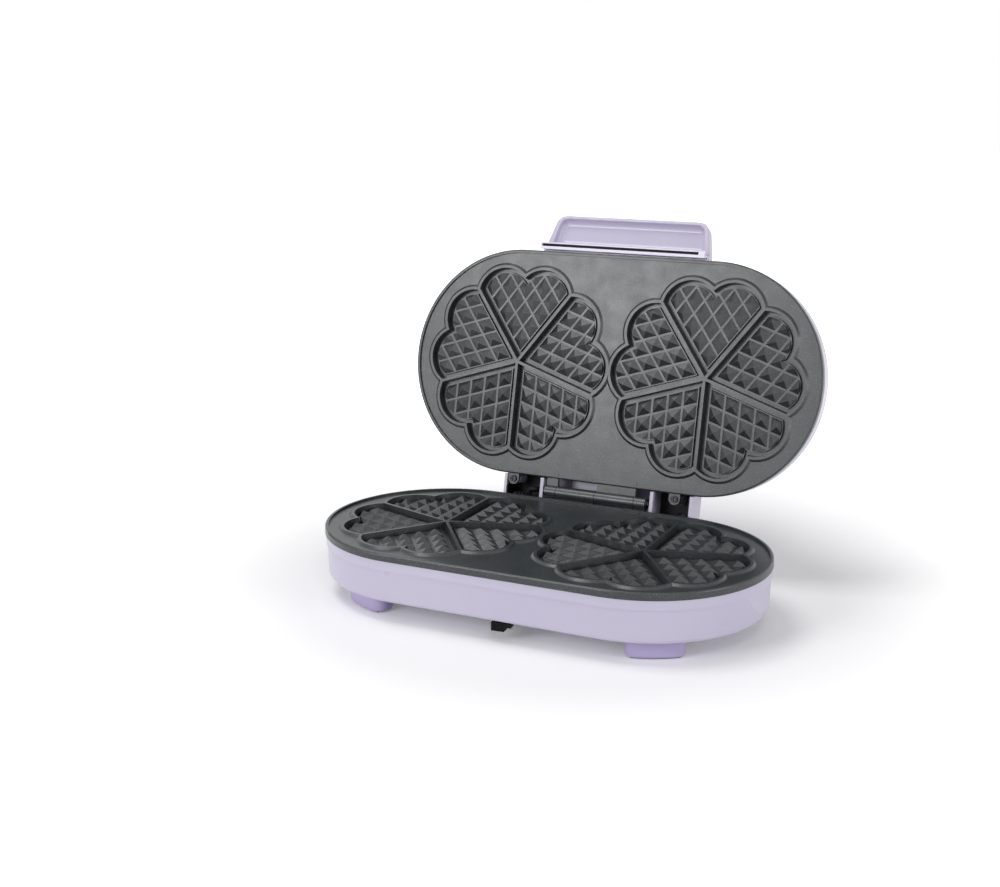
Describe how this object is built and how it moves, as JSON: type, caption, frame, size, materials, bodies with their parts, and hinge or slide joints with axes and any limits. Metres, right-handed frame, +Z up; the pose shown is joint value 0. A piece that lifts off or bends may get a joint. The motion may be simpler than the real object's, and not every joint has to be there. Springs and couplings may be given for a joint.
{
  "type": "waffle maker",
  "caption": "Double heart waffle maker standing open, with oval lilac casings, dark non-stick plates, hinged lid with scoop handle and a browning lever.",
  "frame": {"origin": "middle of the bounding box in plan, on the surface that the foot pads stand on", "axes": "+X to the right along the long side, +Y to the back where the hinge is, +Z up"},
  "size_m": [0.3766, 0.2948, 0.2942],
  "materials": {
    "lilac_plastic": "satin",
    "foot_plastic": "satin",
    "grey_rubber": "matt",
    "nonstick_casting": "speckled non-stick coat on cast aluminium",
    "steel": "plain",
    "blackened_steel": "blackened",
    "reflector_sheet": "bright",
    "element_sheath": "oxidised",
    "black_plastic": "matt",
    "ceramic": "matt",
    "brass": "plain",
    "wire_sleeve": "matt",
    "red_lens": "clear tinted",
    "green_lens": "clear tinted",
    "lamp_glass": "clear"
  },
  "bodies": {
    "base": {"base_shell": "lilac_plastic", "feet": "foot_plastic", "foot_pads": "grey_rubber", "lower_plate": "nonstick_casting", "lower_element": "element_sheath", "lower_element_straps": "steel", "lower_reflector": "reflector_sheet", "lower_plate_screws": "blackened_steel", "hinge_pin": "blackened_steel", "hinge_pin_clips": "blackened_steel", "thermostat": "ceramic", "thermostat_bracket": "steel", "cord_gland": "black_plastic", "cord_clamp": "black_plastic", "cord_clamp_screws": "steel", "terminal_block": "ceramic", "terminal_screws": "brass", "thermal_fuse": "wire_sleeve", "thermal_fuse_clip": "steel", "base_wiring": "wire_sleeve", "base_lead": "black_plastic"},
    "lid": {"lid_shell": "lilac_plastic", "hinge_liners": "black_plastic", "slot_strip": "black_plastic", "lid_handle": "lilac_plastic", "handle_screws": "steel", "upper_plate": "nonstick_casting", "upper_element": "element_sheath", "upper_element_straps": "steel", "upper_reflector": "reflector_sheet", "upper_plate_screws": "blackened_steel", "power_lamp_lens": "red_lens", "ready_lamp_lens": "green_lens", "lamp_holder": "black_plastic", "neon_lamps": "lamp_glass", "lid_wiring": "wire_sleeve", "lid_lead": "black_plastic"},
    "browning_lever": {"browning_lever": "black_plastic", "browning_lever_screw": "steel", "thermostat_shaft": "brass"}
  },
  "joints": [
    {"name": "lid_hinge", "type": "hinge", "parent": "base", "child": "lid", "pos_m": [0, 0.06357, 0.06], "axis": [1, 0, 0], "range_deg": [0, 103.1]},
    {"name": "browning_lever_pivot", "type": "hinge", "parent": "base", "child": "browning_lever", "pos_m": [0, -0.07393, 0.0147], "axis": [0, 0, 1], "range_deg": [-29, 19]}
  ]
}
